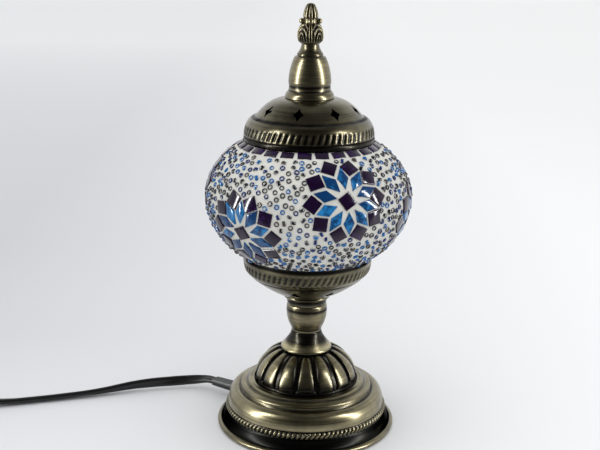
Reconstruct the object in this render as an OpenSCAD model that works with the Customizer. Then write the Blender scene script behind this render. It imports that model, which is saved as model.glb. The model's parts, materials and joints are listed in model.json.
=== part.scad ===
// Mosaic glass table lamp: a spun metal base and stem, a mosaic glass globe in a pierced gallery,
// and a pierced cap with a cast finial. Millimetres, +Z up, origin at the centre of the foot.

/* [Base] */
// Radius of the rolled rim that stands on the table
rim_r = 58.3; // [57:0.1:60]
// Largest radius of the brushed skirt
skirt_r = 51.2; // [50.5:0.1:52]
// Height of the flat deck that carries the dome
deck_z = 30.3; // [29.5:0.1:31]
// Height of the dome over the deck
dome_h = 22; // [21.5:0.1:22.2]
// Thickness of the spun metal
sheet = 0.8; // [0.6:0.1:0.9]

/* [Stem] */
// Largest radius of the stem
stem_r = 13.2; // [12.5:0.1:13.5]
// Waist radius between the trumpet and the stem
waist_r = 9.8; // [9:0.1:10.2]
// Outer radius of the threaded tube that clamps the stack
tube_r = 5; // [4.8:0.1:5]

/* [Globe] */
// Radius of the mosaic at the equator
globe_r = 65; // [64:0.1:66]
// Height of the equator
globe_z = 154.5; // [154:0.1:155]
// Height of the upper half of the mosaic
globe_up = 44.8; // [44.5:0.1:45]
// Depth of the lower half of the mosaic
globe_down = 50; // [49.8:0.1:50.2]
// Outer radius of the glass necks at both mouths
neck_r = 38.6; // [38.2:0.1:38.6]
// Thickness of the blown glass
glass_t = 2.4; // [2:0.1:2.6]
// Number of mosaic flowers round the globe
flowers = 6; // [4:2:6]
// Petals of a flower, in each of its two rings
petals = 10; // [8:2:10]

/* [Cap and finial] */
// Radius of the cap over its gadrooned band
cap_r = 40.8; // [40.6:0.1:41]
// Height of the cap's lower lip
lip_z = 189.2; // [189.2:0.1:189.5]
// Height of the cap's flat top
cap_top = 216; // [215.5:0.1:216.2]
// Vents round the cap
cap_vents = 8; // [6:1:10]
// Height of the whole lamp
lamp_h = 273; // [272:0.5:275]

/* [Gallery] */
// Radius of the gallery's rim
gallery_r = 41.4; // [41.2:0.1:41.6]
// Vents round the gallery
gallery_vents = 8; // [4:1:8]

/* [Lead] */
// Width of the flat twin lead
lead_w = 6.8; // [6.4:0.1:7]
// Thickness of the flat twin lead
lead_t = 3.7; // [3.4:0.1:3.8]

/* [Hidden] */
$fn = 96;

brass = [0.5, 0.46, 0.33];
dark = [0.1, 0.1, 0.1];
steel = [0.7, 0.7, 0.72];

rim_bottom = 0.4;
flange_r = rim_r - 5.5; // the rim is rolled in to here, under the base plate
pad_t = rim_bottom + sheet; // felt under the base plate
plate_t = 1;
plate_r = rim_r - 2.7;
ballast_r = 42;
ballast_top = 6.2;
hole_r = tube_r + 0.3; // clearance hole of every spun piece on the tube
nut_r = 14 / 2 / cos(30); // hexagon nut, 14 mm across its flats
dome_top = deck_z + dome_h;
trumpet_top = 64.5;
stem_top = 82.8;
collar_top = 88.6;
gallery_top = 115.8;
grout_in = 0.8; // the grout lies this far under the tiles' faces
glass_in = 2.4; // the glass lies this far under the tiles' faces
bulb_z = 163; // centre of the bulb's ball
bulb_r = 22.5;
holder_top = 139;
gland_az = 33; // direction of the lead's exit, from -X towards +Y
gland_z = 8.3;
gland_end = 76; // distance from the axis to the end of the strain relief
relief_l = 21;
relief_r = [4.3, 3.8]; // at the gland and at its end
relief_half_t = [2.5, 2.15]; // half its thickness at the gland and at its end
purple = [0.16, 0.05, 0.25];
blue = [0.1, 0.4, 0.62];

// Route of the lead from the gland to the switch: place, then the turn of the flat lead about its own line
lamp_route = [[-63.7, 41.4, 8.3, 180], [-68.5, 44.3, 8.1, 172], [-74, 46.3, 7.2, 155], [-81, 47, 6.4, 135],
    [-89, 46.5, 5.9, 118], [-97, 45.4, 5.6, 105], [-105, 43.9, 5.5, 93], [-113, 42, 5.3, 80],
    [-122, 39.6, 4.9, 65], [-131, 36.8, 4.2, 50], [-140, 33.8, 3.5, 38], [-150, 30.6, 3, 29],
    [-162, 27, 2.7, 23], [-175, 23.1, 2.5, 22], [-188, 19.3, 2.5, 22], [-200, 15.9, 2.6, 20],
    [-212, 13, 3.4, 12], [-223, 10.8, 5.2, 4], [-234, 10, 6.5, 0]];
coil_route = [[-334, 10, 6.5, 0], [-340, 10, 6.3, 10], [-346, 10, 5.9, 30], [-352, 10, 5.3, 55],
    [-359, 10, 4.6, 80], [-366, 10, 4.2, 90]];
plug_route = [[-366, -73, 11.2, 90], [-357, -73, 11, 86], [-348, -73, 10.4, 70], [-338, -73, 9.5, 45],
    [-327, -73, 8.4, 20], [-315, -73, 7.4, 0], [-303, -73, 7, 0]];
inner_route = [[-38, 24.7, 8.3, 90], [-30, 19.5, 10.4, 90], [-21, 13.6, 10.4, 90], [-13, 8.4, 11, 90],
    [-6.5, 4.2, 13.6, 90], [-2.2, 1.4, 18, 90], [-0.4, 0.3, 23, 90], [0, 0, 30, 90], [0, 0, 60, 90],
    [0, 0, 103, 90]];
switch_x = -284;
switch_y = 10;
switch_size = [60, 27, 15];
switch_split = 6.5; // height of the joint between the halves, and of the lead
boot_l = 20; // tapered sleeve on the lead at the switch and the plug
boot_r = [5.2, 3.9];
rocker_size = [21, 10];
rocker_tilt = 5; // the rocker rests this far to one side
rocker_z = 12.6; // height of the rocker's pin
coil_c = [-366, -32];
coil_low = 0.8; // the turns lie on their tie
coil_r = 35.2; // middle of the turns
coil_size = [17.4, 13.9];
plug_back = -303;
plug_y = -73;
plug_z = 7;
plug_l = 32;
pin_gap = 19;

// ---- outlines ----
function arc(c, r, a0, a1, n = 8) = [for (i = [0:n]) let (a = a0 + (a1 - a0) * i / n) c + r * [cos(a), sin(a)]];
function bez(p, n = 10) = [for (i = [0:n]) let (t = i / n, s = 1 - t)
    s * s * s * p[0] + 3 * s * s * t * p[1] + 3 * s * t * t * p[2] + t * t * t * p[3]];
function unit(v) = v / norm(v);
function right_of(v) = [v[1], -v[0]];
// Direction square to a path at point i, on its right, lengthened at corners to keep the wall's thickness
function square_to(p, i) = let (
    a = unit(p[max(i, 1)] - p[max(i, 1) - 1]),
    b = unit(p[min(i, len(p) - 2) + 1] - p[min(i, len(p) - 2)]),
    m = unit(right_of(a) + right_of(b)))
    m / max(0.6, m * right_of(a));
// The far side of a wall of thickness t along a path, from its end to its start
function other_side(p, t) = [for (i = [len(p) - 1:-1:0]) let (q = p[i] + t * square_to(p, i))
    [max(0, q[0]), q[1]]];

// A wall of thickness t along an outline, to the right of the way it runs, turned about Z
module spun(path, t = sheet) rotate_extrude() polygon(concat(path, other_side(path, t)));

module ring(r_in, r_out, z0, z1) translate([0, 0, z0]) difference() {
    cylinder(r = r_out, h = z1 - z0);
    translate([0, 0, -1]) cylinder(r = r_in, h = z1 - z0 + 2);
}

module hex_nut(r_across, bore, z0, z1) difference() {
    translate([0, 0, z0]) cylinder(r = r_across, h = z1 - z0, $fn = 6);
    translate([0, 0, z0 - 1]) cylinder(r = bore, h = z1 - z0 + 2);
}

// A pan-head screw pointing down, with its head's underside at the origin
module screw(r, length, head_r) union() {
    translate([0, 0, -length]) cylinder(r = r, h = length + 0.2, $fn = 32);
    cylinder(r = head_r, h = 1.4, $fn = 32);
}

// ---- base ----
rim_path = concat(
    [[hole_r, deck_z], [34.2, deck_z]],
    arc([36.6, deck_z - 1], 1.1, 130, 20, 5),
    arc([41.2, deck_z - 3.9], 1.7, 115, -15, 6),
    bez([[43.6, 24.8], [48.6, 26.4], [skirt_r, 21], [skirt_r, 15.6]], 10),
    arc([skirt_r - 0.7, 12.6], 2, 60, -50, 6),
    bez([[52.8, 9.6], [53.6, 6], [55, 4.2], [56.2, 3.7]], 5),
    arc([rim_r - 1.7, 2], 1.7, 75, -70, 7),
    [[flange_r, rim_bottom]]);

module foot_pad() color([0.12, 0.12, 0.12]) cylinder(r = flange_r - 0.3, h = pad_t);

module base_plate() color(steel) translate([0, 0, pad_t]) cylinder(r = plate_r, h = plate_t);

module ballast_disc() color(steel) ring(12, ballast_r, pad_t + plate_t, ballast_top);

module base_shell() color(brass) difference() {
    spun(rim_path);
    gland_frame() translate([0, 0, 44]) cylinder(r = 5.2, h = 20);
}

module fluted_dome() color(brass) spun(concat(
    [[hole_r, dome_top], [13, dome_top]],
    [for (i = [0:12]) let (a = 72 - 68 * i / 12) [9 + 23.8 * cos(a), deck_z + 22 * sin(a)]],
    [[34, deck_z + 0.85]]));

// ---- stem ----
module trumpet_collar() color(brass) spun(concat(
    [[hole_r, trumpet_top], [waist_r - 0.6, trumpet_top]],
    bez([[waist_r, trumpet_top - 0.6], [waist_r + 0.3, 60.4], [13.6, 56.5], [16.5, 53.3]], 8),
    [[16.6, dome_top + 0.1]]));

module stem_vase() color(brass) spun(concat(
    [[hole_r, stem_top], [stem_r - 1, stem_top]],
    bez([[stem_r - 0.4, stem_top - 0.7], [stem_r + 0.5, 77], [stem_r - 0.4, 71.5], [10.6, 67.4]], 10),
    [[waist_r, 65.6], [waist_r - 0.1, trumpet_top]]));

// Turned ring with a flange for the bowl
collar_bore = 11.4;
collar_plate = 1.4;
module gallery_collar() color(brass) rotate_extrude() polygon(concat(
    [[hole_r, collar_top], [14.9, collar_top], [15.2, collar_top - 0.5]],
    bez([[15.1, collar_top - 1], [13.5, 86.6], [12.8, 85.2], [12.7, 83.8]], 6),
    [[12.4, stem_top], [collar_bore, stem_top], [collar_bore, collar_top - collar_plate],
        [hole_r, collar_top - collar_plate]]));

gallery_path = concat(
    [[gallery_r, gallery_top], [gallery_r - 0.1, 113.6], [40.9, 110.6]],
    bez([[40.5, 108.4], [40.2, 106.4], [39, 104.5], [36.6, 103.1]], 5),
    [[36.2, 102.2]],
    bez([[35.6, 101.8], [29.4, 96.6], [23.4, 92.8], [16.8, 89.8]], 6),
    [[14.6, collar_top], [hole_r, collar_top]]);

// Four-pointed opening with hollow sides
module star(w, h) {
    tuck = 0.2;
    polygon([[0, h / 2], [w * tuck, h * tuck], [w / 2, 0], [w * tuck, -h * tuck],
        [0, -h / 2], [-w * tuck, -h * tuck], [-w / 2, 0], [-w * tuck, h * tuck]]);
}

module gallery() color(brass) difference() {
    spun(gallery_path);
    for (i = [0:gallery_vents - 1]) rotate([0, 0, i * 360 / gallery_vents - 105])
        translate([28, 0, 95.9]) rotate([0, 146, 0]) rotate([0, 0, 90]) linear_extrude(7, center = true)
            star(7, 8.4);
}

module threaded_tube() color(steel) ring(tube_r - 1, tube_r, 22, 98);

module base_washer() color(steel) ring(hole_r, 16, deck_z - sheet - 1.6, deck_z - sheet);

module base_nut() color(steel) hex_nut(nut_r, tube_r + 0.05, 24.2, deck_z - sheet - 1.6);

module gallery_nut() color(steel) hex_nut(nut_r, tube_r + 0.05, collar_top + sheet, 92.2);

// ---- mains entry ----
// Frame with its Z along the lead's way out of the base
module gland_frame() translate([0, 0, gland_z]) rotate([0, 0, 180 - gland_az]) rotate([0, 90, 0]) children();

module lead_gland() color(dark) gland_frame() union() {
    rotate_extrude() polygon([
        [0, 45.4], [5.9, 45.4], [5.9, 46.9], [5, 47.1], [5, 55], [4.6, 55.6], [0, 55.6]]);
    translate([0, 0, gland_end - relief_l]) strain_relief();
}

// Tapered flat sleeve on the lead
module strain_relief() intersection() {
    cylinder(r1 = relief_r[0], r2 = relief_r[1], h = relief_l);
    rotate([90, 0, 0]) linear_extrude(12, center = true) polygon([[-relief_half_t[0], 0], [relief_half_t[0], 0],
        [relief_half_t[1], relief_l], [-relief_half_t[1], relief_l]]);
}

clamp_h = 8.6;

module lead_clamp() color([0.85, 0.85, 0.8]) difference() {
    rotate([0, 0, 180 - gland_az]) translate([25.4, -9, ballast_top]) cube([9, 18, clamp_h]);
    translate([0, 0, 10.4 - gland_z]) gland_frame() translate([0, 0, 20]) cylinder(r = 3.5, h = 20);
    clamp_places() translate([0, 0, -clamp_h - 1]) cylinder(r = 1.3, h = clamp_h + 2, $fn = 32);
}

module clamp_places() rotate([0, 0, 180 - gland_az])
    for (side = [-1, 1]) translate([29.9, side * 6.2, ballast_top + clamp_h]) children();

module clamp_screws() color(steel) clamp_places() screw(1.2, 8, 2.3);

// ---- lampholder ----
module holder_cap() color(dark) spun(concat(
    [[13.2, 106]],
    bez([[13.2, 101], [13.2, 97.5], [11, 94.5], [8.4, 92.6]], 6),
    [[tube_r + 0.05, 92.6]]), 1.4);

module holder_insulator() color([0.9, 0.89, 0.85]) difference() {
    ring(2.7, 11.4, 104, 113);
    terminal_places() translate([0, 0, -6]) cylinder(r = 1.6, h = 8, $fn = 32);
}

module terminal_places() for (side = [-1, 1]) translate([side * 9.4, 0, 113]) children();

module holder_sleeve() color(dark) rotate_extrude() polygon([
    [11.6, 106], [13.9, 106], [13.9, 108], [13.4, 109], [13.4, holder_top - 1], [12.4, holder_top],
    [8.6, holder_top], [8.6, 117], [11.6, 117]]);

module contact_shell() color("gold") ring(7.1, 7.6, 113, 137);

module centre_contact() color("gold") union() {
    translate([0, 0, 110]) cylinder(r = 2.6, h = 3, $fn = 32);
    translate([0, 0, 113]) cylinder(r = 1.6, h = 1.4, $fn = 32);
}

module terminal_screws() color("gold") terminal_places() screw(1.5, 5, 1.55);

// ---- bulb ----
module bulb_cap() color(steel) ring(4, 7, 117.4, 137);

module bulb_contact() color(dark) translate([0, 0, 114.5]) cylinder(r1 = 2, r2 = 5, h = 2.8);

module bulb_glass() color([1, 1, 1, 0.4]) spun(concat(
    arc([0, bulb_z], bulb_r, 90, -46, 24),
    bez([[15, 146.2], [10.6, 142.8], [8.2, 141], [7.9, 137.2]], 6)));

module bulb_stem() color([1, 1, 1, 0.5]) translate([0, 0, 137.2]) union() {
    cylinder(r = 3, h = 14);
    translate([0, 0, 14]) sphere(r = 3);
}

module bulb_filaments() color("orange") for (a = [0:90:270]) rotate([0, 0, a])
    translate([4.2, 0, 150]) rotate([0, 12, 0]) cylinder(r = 0.7, h = 24, $fn = 16);

// ---- globe ----
// Outline of the globe at a depth d under the tiles' faces, between two radii at the mouths
function globe_side(d, r_top, r_low, n = 32) = let (
    a = globe_r - d, top = acos(r_top / a), low = -acos(r_low / a))
    [for (i = [0:n]) let (t = top + (low - top) * i / n)
        [a * cos(t), globe_z + ((t > 0 ? globe_up : globe_down) - d) * sin(t)]];
function backwards(p) = [for (i = [len(p) - 1:-1:0]) p[i]];

glass_top = 193.4;
glass_low = 111.5;
glass_side = globe_side(glass_in, neck_r, neck_r);
grout_side = globe_side(grout_in, 39.9, 41);

module globe_glass() color([0.8, 0.85, 0.85, 0.5]) rotate_extrude() polygon(concat(
    [[neck_r, glass_top]], glass_side, [[neck_r, glass_low], [neck_r - glass_t, glass_low]],
    backwards(globe_side(glass_in + glass_t, neck_r - glass_t, neck_r - glass_t)),
    [[neck_r - glass_t, glass_top]]));

module grout_layer() color([0.88, 0.87, 0.83]) rotate_extrude() polygon(concat(
    [[neck_r, grout_side[0][1]]], grout_side,
    [[neck_r, grout_side[len(grout_side) - 1][1]]], backwards(glass_side)));

// A point of the tiles' surface from its azimuth (0 at the front, -Y) and its height, and the normal there
function half_height(z) = z > globe_z ? globe_up : globe_down;
function on_globe(az, z) = let (r = globe_r * sqrt(1 - pow((z - globe_z) / half_height(z), 2)))
    [r * sin(az), -r * cos(az), z];
function normal_at(p) = unit([p[0] / pow(globe_r, 2), p[1] / pow(globe_r, 2),
    (p[2] - globe_z) / pow(half_height(p[2]), 2)]);
// The place on the globe under a point beside it
function drop_on(q) = let (k = norm([q[0] / globe_r, q[1] / globe_r, (q[2] - globe_z) / half_height(q[2])]))
    [q[0] / k, q[1] / k, globe_z + (q[2] - globe_z) / k];

// Seat children on the globe at p, with their Z outwards and their Y towards the point aim
module seat(p, aim) {
    n = normal_at(p);
    x = unit(cross(aim - p, n));
    y = cross(n, x);
    multmatrix([[x[0], y[0], n[0], p[0]], [x[1], y[1], n[1], p[1]], [x[2], y[2], n[2], p[2]], [0, 0, 0, 1]])
        children();
}

flower_first = 21; // azimuth of the first flower
flower_z = [165, 142]; // heights of alternate flowers
tile_side = 8.3;
tile_t = 2;
ring_square = 22.2;
ring_diamond = 14;
// How much further out each petal of the upper and of the lower flowers was laid
laid_out = [
    [-0.6, -0.5, -0.6, 0.9, 0.4, 0, 0.8, 1.1, 1, 0.3],
    [0, 0.2, -0.2, 0.3, 0, 0.2, -0.2, 0.1, 0, 0.2]];
// How far the middle tiles of the upper and of the lower flowers are turned
centre_turn = [30, 25];
function laid(i, k) = laid_out[i % 2][k % len(laid_out[0])];

// Children on a ring of radius rho round the middle of flower i, with their Y towards it
module petal_ring(i, rho, shift) {
    c = on_globe(flower_first + i * 360 / flowers, flower_z[i % 2]);
    n = normal_at(c);
    u = unit(cross([0, 0, 1], n));
    v = cross(n, u);
    for (k = [0:petals - 1]) {
        a = (k + shift) * 360 / petals + (i % 2 == 0 ? 2 : -3);
        out = rho + (shift == 0 ? laid(i, k) : 0.2 * (laid(i, k) + laid(i, k + 1)));
        seat(drop_on(c + out * (cos(a) * u + sin(a) * v)), c) children();
    }
}

module purple_tiles() color(purple) for (i = [0:flowers - 1]) {
    petal_ring(i, ring_square, 0) rotate([0, 0, 45])
        translate([-tile_side / 2, -tile_side / 2, -tile_t]) cube([tile_side, tile_side, tile_t]);
    seat(on_globe(flower_first + i * 360 / flowers, flower_z[i % 2]), [0, 0, 400])
        rotate([0, 0, centre_turn[i % 2]])
            translate([-tile_side / 2, -tile_side / 2, -tile_t]) cube([tile_side, tile_side, tile_t]);
}

module blue_tiles() color(blue) for (i = [0:flowers - 1]) petal_ring(i, ring_diamond, 0.5)
    translate([0, 0, -tile_t]) linear_extrude(tile_t) polygon([[0, 7], [3.7, 0], [0, -7], [-3.7, 0]]);

module border_tiles() color(purple) for (k = [0:25]) seat(on_globe(-3.8 + k * 360 / 26, 188.1), [0, 0, 400])
    translate([-4, -2.3, -tile_t]) cube([8, 4.6, tile_t]);

module seat_gasket() color(dark) rotate_extrude() polygon([
    [38.9, 109.4], [39.8, 109.4], [39.8, gallery_top + 0.05], [41, gallery_top + 0.05],
    [41, 116.5], [38.9, 116.5]]);

// ---- cap ----
cap_path = concat(
    [[2.3, cap_top], [13, cap_top]],
    bez([[14.4, cap_top - 0.1], [25.4, 215.6], [30.2, 208], [33.8, 204.4]], 10),
    bez([[35.4, 203.9], [38.4, 202.8], [40.2, 198.6], [cap_r - 0.1, 193.2]], 6),
    [[cap_r - 0.5, 192.6]],
    bez([[cap_r, 192], [cap_r + 0.2, 191], [cap_r, 190.2], [cap_r - 0.3, lip_z]], 3));

module top_cap() color(brass) difference() {
    spun(cap_path);
    for (i = [0:cap_vents - 1]) rotate([0, 0, i * 360 / cap_vents - 148.5])
        translate([29, 0, 209.4]) rotate([0, 48, 0]) rotate([0, 0, 90]) linear_extrude(6, center = true)
            star(6.6, 9.4);
}

module cap_gasket() color(dark) ring(neck_r + 0.3, cap_r - 1.2, lip_z + 0.1, lip_z + 2.6);

spring_path = [[4, 213.2], [18, 212.4], [30.5, 203], [34.7, 194], [35.4, 190], [34, 185.6]];

// Three spring arms from one hub, which grip the inside of the globe's upper mouth
module spring_spider() color(steel) difference() {
    union() {
        translate([0, 0, 212.6]) cylinder(r = 7, h = 0.6);
        for (a = [30:120:270]) rotate([0, 0, a]) translate([0, 4, 0]) rotate([90, 0, 0])
            linear_extrude(8) polygon(concat(spring_path, other_side(spring_path, 0.5)));
    }
    translate([0, 0, 205]) cylinder(r = 2.3, h = 20);
}

module neck_ferrule() color(brass) spun(concat(
    [[2.3, 241.4], [9, 241.4]],
    bez([[9.6, 240.9], [11.6, 237], [13.2, 231], [stem_r, 225.4]], 8),
    [[12.8, 223.4], [12.9, 221.8]],
    bez([[13.3, 220.2], [14.2, 219.6], [15.2, 218.4], [15.3, cap_top + 0.1]], 4)));

module finial_stud() color(steel) translate([0, 0, 206]) cylinder(r = 2, h = 50);

module stud_washer() color(steel) ring(2.3, 5.5, 213.25, cap_top - sheet);

module stud_nut() color(steel) hex_nut(3.5 / cos(30), 2.05, 209.2, 212.55);

// ---- finial ----
module finial() color(brass) difference() {
    union() {
        rotate_extrude() polygon(concat(
            [[0, lamp_h], [1.6, lamp_h]],
            bez([[2.2, lamp_h - 0.6], [3.6, 270], [4.6, 267.4], [4.6, 264.6]], 6),
            [[4, 263.6], [4.2, 260.8]],
            bez([[5.4, 260], [7.6, 258], [8.6, 253], [6.6, 249.6]], 8),
            bez([[5.4, 248.4], [5.6, 246.4], [6.8, 244.2], [8, 242.9]], 5),
            [[8.1, 241.7], [0, 241.7]]));
        for (a = [0:90:270]) rotate([0, 0, a]) translate([5.6, 0, 262.3]) sphere(r = 1.7, $fn = 32);
    }
    translate([0, 0, 240]) cylinder(r = 2.06, h = 16.5);
}

// ---- lead ----
function route_way(r, i) = unit(xyz(r[min(i + 1, len(r) - 1)]) - xyz(r[max(i - 1, 0)]));
function xyz(p) = [p[0], p[1], p[2]];
// Level direction square to a way, kept steady where the way runs upright
function level_side(w) = let (s = cross([0, 0, 1], w)) norm(s) < 0.05 ? [0.55, 0.84, 0] : unit(s);
function lead_ring(r, i, half_w, half_t, sides) = let (
    w = route_way(r, i),
    s = level_side(w),
    u = cross(w, s))
    [for (k = [0:sides - 1]) let (
        a = 360 * k / sides,
        p = half_w * cos(a),
        q = half_t * sin(a),
        c = cos(r[i][3]),
        e = sin(r[i][3]))
        xyz(r[i]) + (p * c - q * e) * s + (p * e + q * c) * u];

// A lead of oval section swept along a route
module lead(r, half_w = lead_w / 2, half_t = lead_t / 2, sides = 10) {
    points = [for (i = [0:len(r) - 1]) each lead_ring(r, i, half_w, half_t, sides)];
    last = (len(r) - 1) * sides;
    faces = concat(
        [[for (k = [0:sides - 1]) k]],
        [for (i = [0:len(r) - 2], k = [0:sides - 1], half = [0, 1]) let (
            m = (k + 1) % sides,
            here = i * sides,
            next = here + sides)
            half == 0 ? [here + k, next + k, next + m] : [here + k, next + m, here + m]],
        [[for (k = [sides - 1:-1:0]) last + k]]);
    polyhedron(points, faces, convexity = 6);
}

module inner_lead() color(dark) lead(inner_route, 2.6, 1.8, 8);

module lamp_lead() color(dark) lead(lamp_route);

module coil_lead() color(dark) lead(coil_route);

module plug_lead() color(dark) lead(plug_route);

// The room that the coiled turns fill
module lead_coil() color(dark) translate([coil_c[0], coil_c[1], coil_low])
    rotate_extrude() translate([coil_r - coil_size[0] / 2, 0]) square(coil_size);

// A band round the coiled turns
module coil_tie() color([0.15, 0.15, 0.15]) translate([coil_c[0] - coil_r, coil_c[1], 0]) difference() {
    translate([-coil_size[0] / 2 - 0.7, -3, 0]) cube([coil_size[0] + 1.6, 6, coil_size[1] + coil_low + 0.7]);
    translate([-coil_size[0] / 2 - 0.1, -4, coil_low - 0.1]) cube([coil_size[0] + 0.4, 8, coil_size[1] + 0.2]);
}

// ---- switch ----
module at_switch() translate([switch_x, switch_y, 0]) children();

module screw_places() for (end = [-1, 1]) translate([end * 20, 0, 0]) children();

module switch_base() color(dark) at_switch() union() {
    difference() {
        linear_extrude(switch_split) square([switch_size[0], switch_size[1]], center = true);
        translate([0, 0, switch_split / 2 + 1.5]) cube([48, 22, switch_split], center = true);
    }
    for (end = [-1, 1]) translate([end * switch_size[0] / 2, 0, switch_split]) rotate([0, end * 90, 0])
        cylinder(r1 = boot_r[0], r2 = boot_r[1], h = boot_l);
}

module switch_cover() color(dark) at_switch() difference() {
    translate([0, 0, switch_split]) linear_extrude(switch_size[2] - switch_split)
        square([switch_size[0], switch_size[1]], center = true);
    translate([0, 0, switch_split - 1]) linear_extrude(switch_size[2] - switch_split - 1)
        square([30, rocker_size[1] + 1], center = true);
    translate([0, 0, 5]) linear_extrude(20) square([rocker_size[0] + 1.6, rocker_size[1] + 1], center = true);
    rocker_axis(rocker_size[1] + 4.2, 0.82);
    screw_places() translate([0, 0, switch_size[2] - 1.6]) cylinder(r = 2.6, h = 3, $fn = 32);
    screw_places() translate([0, 0, 5]) cylinder(r = 1.3, h = 20, $fn = 32);
}

module switch_screws() color(steel) at_switch() screw_places()
    translate([0, 0, switch_size[2] - 1.6]) screw(1.2, 7, 2.4);

module switch_contacts() color("gold") at_switch() for (end = [-1, 1])
    translate([end * 10 - 2, -4, 4.8]) cube([4, 8, 1]);

module rocker_axis(length, r) translate([0, 0, rocker_z]) rotate([90, 0, 0])
    cylinder(r = r, h = length, center = true, $fn = 32);

module rocker_pin() color(steel) at_switch() rocker_axis(rocker_size[1] + 4, 0.8);

// Rocker with a valley in the middle of its top, tilted so that its far half is down
module switch_rocker() color([0.2, 0.2, 0.2]) at_switch() difference() {
    translate([0, 0, rocker_z]) rotate([0, -rocker_tilt, 0]) translate([0, rocker_size[1] / 2, 0])
        rotate([90, 0, 0]) linear_extrude(rocker_size[1]) polygon([
            [-rocker_size[0] / 2, -0.4], [-rocker_size[0] / 2, 4], [0, 2.6], [rocker_size[0] / 2, 4],
            [rocker_size[0] / 2, -0.4], [4, -2.2], [-4, -2.2]]);
    rocker_axis(20, 0.85);
}

// ---- plug ----
module plug_body() color(dark) translate([plug_back, plug_y, plug_z]) rotate([0, 90, 0]) union() {
    cylinder(r1 = boot_r[1], r2 = boot_r[0], h = boot_l);
    translate([0, 0, boot_l]) linear_extrude(plug_l) intersection() {
        circle(r = 17);
        square([13.6, 35], center = true);
    }
}

module plug_pins() color(steel) translate([plug_back + boot_l + plug_l, plug_y, plug_z]) for (side = [-1, 1])
    translate([0, side * pin_gap / 2, 0]) rotate([0, 90, 0]) cylinder(r = 2, h = 19);

foot_pad();
base_plate();
ballast_disc();
base_shell();
fluted_dome();
trumpet_collar();
stem_vase();
gallery_collar();
gallery();
threaded_tube();
base_washer();
base_nut();
gallery_nut();
lead_gland();
lead_clamp();
clamp_screws();
inner_lead();
holder_cap();
holder_insulator();
holder_sleeve();
contact_shell();
centre_contact();
terminal_screws();
bulb_cap();
bulb_contact();
bulb_glass();
bulb_stem();
bulb_filaments();
seat_gasket();
globe_glass();
grout_layer();
purple_tiles();
blue_tiles();
border_tiles();
top_cap();
cap_gasket();
spring_spider();
neck_ferrule();
finial_stud();
stud_washer();
stud_nut();
finial();
lamp_lead();
switch_base();
switch_cover();
switch_screws();
switch_contacts();
rocker_pin();
switch_rocker();
coil_lead();
lead_coil();
coil_tie();
plug_lead();
plug_body();
plug_pins();
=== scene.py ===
"""Mosaic glass table lamp.

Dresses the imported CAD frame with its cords, spun and cast metal, mosaic, glass and light.
"""
import json
import math

import bmesh
import bpy
import numpy as np
from mathutils import Matrix, Vector


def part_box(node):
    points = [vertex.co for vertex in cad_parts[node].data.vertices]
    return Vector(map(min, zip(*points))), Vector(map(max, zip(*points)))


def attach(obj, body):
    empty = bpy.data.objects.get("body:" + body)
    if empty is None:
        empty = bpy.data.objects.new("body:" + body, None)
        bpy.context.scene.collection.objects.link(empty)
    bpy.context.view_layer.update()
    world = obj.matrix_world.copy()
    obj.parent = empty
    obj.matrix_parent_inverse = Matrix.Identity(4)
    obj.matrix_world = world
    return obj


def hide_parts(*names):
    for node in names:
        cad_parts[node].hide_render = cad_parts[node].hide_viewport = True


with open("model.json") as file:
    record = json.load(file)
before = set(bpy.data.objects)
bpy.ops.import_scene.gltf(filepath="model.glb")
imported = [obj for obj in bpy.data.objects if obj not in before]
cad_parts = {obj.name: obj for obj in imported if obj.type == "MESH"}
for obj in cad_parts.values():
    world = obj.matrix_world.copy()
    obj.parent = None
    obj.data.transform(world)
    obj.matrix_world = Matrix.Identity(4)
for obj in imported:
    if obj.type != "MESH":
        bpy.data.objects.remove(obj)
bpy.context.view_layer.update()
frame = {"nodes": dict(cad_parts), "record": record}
nodes = frame["nodes"]
MM = 0.001
TAU = 2 * math.pi


# ---------------------------------------------------------------- frame sizes, in millimetres
def low(node, axis):
    """Where a CAD node begins along an axis."""
    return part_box(node)[0][axis] / MM


def high(node, axis):
    """Where a CAD node ends along an axis."""
    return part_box(node)[1][axis] / MM


RIM_R = high("base_shell", 0)
DECK_Z = high("base_shell", 2)
DOME_TOP = high("fluted_dome", 2)
TRUMPET_TOP = high("trumpet_collar", 2)
STEM_TOP = high("stem_vase", 2)
COLLAR_TOP = high("gallery_collar", 2)
GALLERY_R = high("gallery", 0)
GALLERY_TOP = high("gallery", 2)
TILE_RISE = 0.8  # the tiles' faces stand this far over the grout
GLOBE_R = high("grout_layer", 0) + TILE_RISE
LIP_Z = low("top_cap", 2)
CAP_TOP = high("top_cap", 2)
LAMP_H = high("finial", 2)
HOLE_R = 5.3  # hole for the threaded tube
STUD_HOLE_R = 2.3  # hole for the finial's stud
SHEET = 0.8  # the metal's thickness


# ---------------------------------------------------------------- outlines
def arc(centre, radius, first, last, n=8):
    """Points on a circle from the first angle to the last, in degrees."""
    turn = np.radians(np.linspace(first, last, n + 1))
    return np.stack([centre[0] + radius * np.cos(turn), centre[1] + radius * np.sin(turn)], 1)


def bez(a, b, c, d, n=12):
    """Points on a cubic Bezier curve."""
    t = np.linspace(0, 1, n + 1)[:, None]
    a, b, c, d = (np.array(p, float) for p in (a, b, c, d))
    return (1 - t) ** 3 * a + 3 * (1 - t) ** 2 * t * b + 3 * (1 - t) * t * t * c + t**3 * d


def joined(*parts):
    """One outline from several, in order."""
    return np.concatenate([np.array(p, float).reshape(-1, 2) for p in parts])


def spaced(line, step):
    """The line again with points about step apart, and its length along."""
    along = np.concatenate([[0], np.cumsum(np.linalg.norm(np.diff(line, axis=0), axis=1))])
    keep = np.concatenate([[True], np.diff(along) > 1e-9])
    at = np.linspace(0, along[-1], max(2, int(round(along[-1] / step)) + 1))
    return np.stack([np.interp(at, along[keep], line[keep, k]) for k in range(line.shape[1])], 1), at


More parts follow.
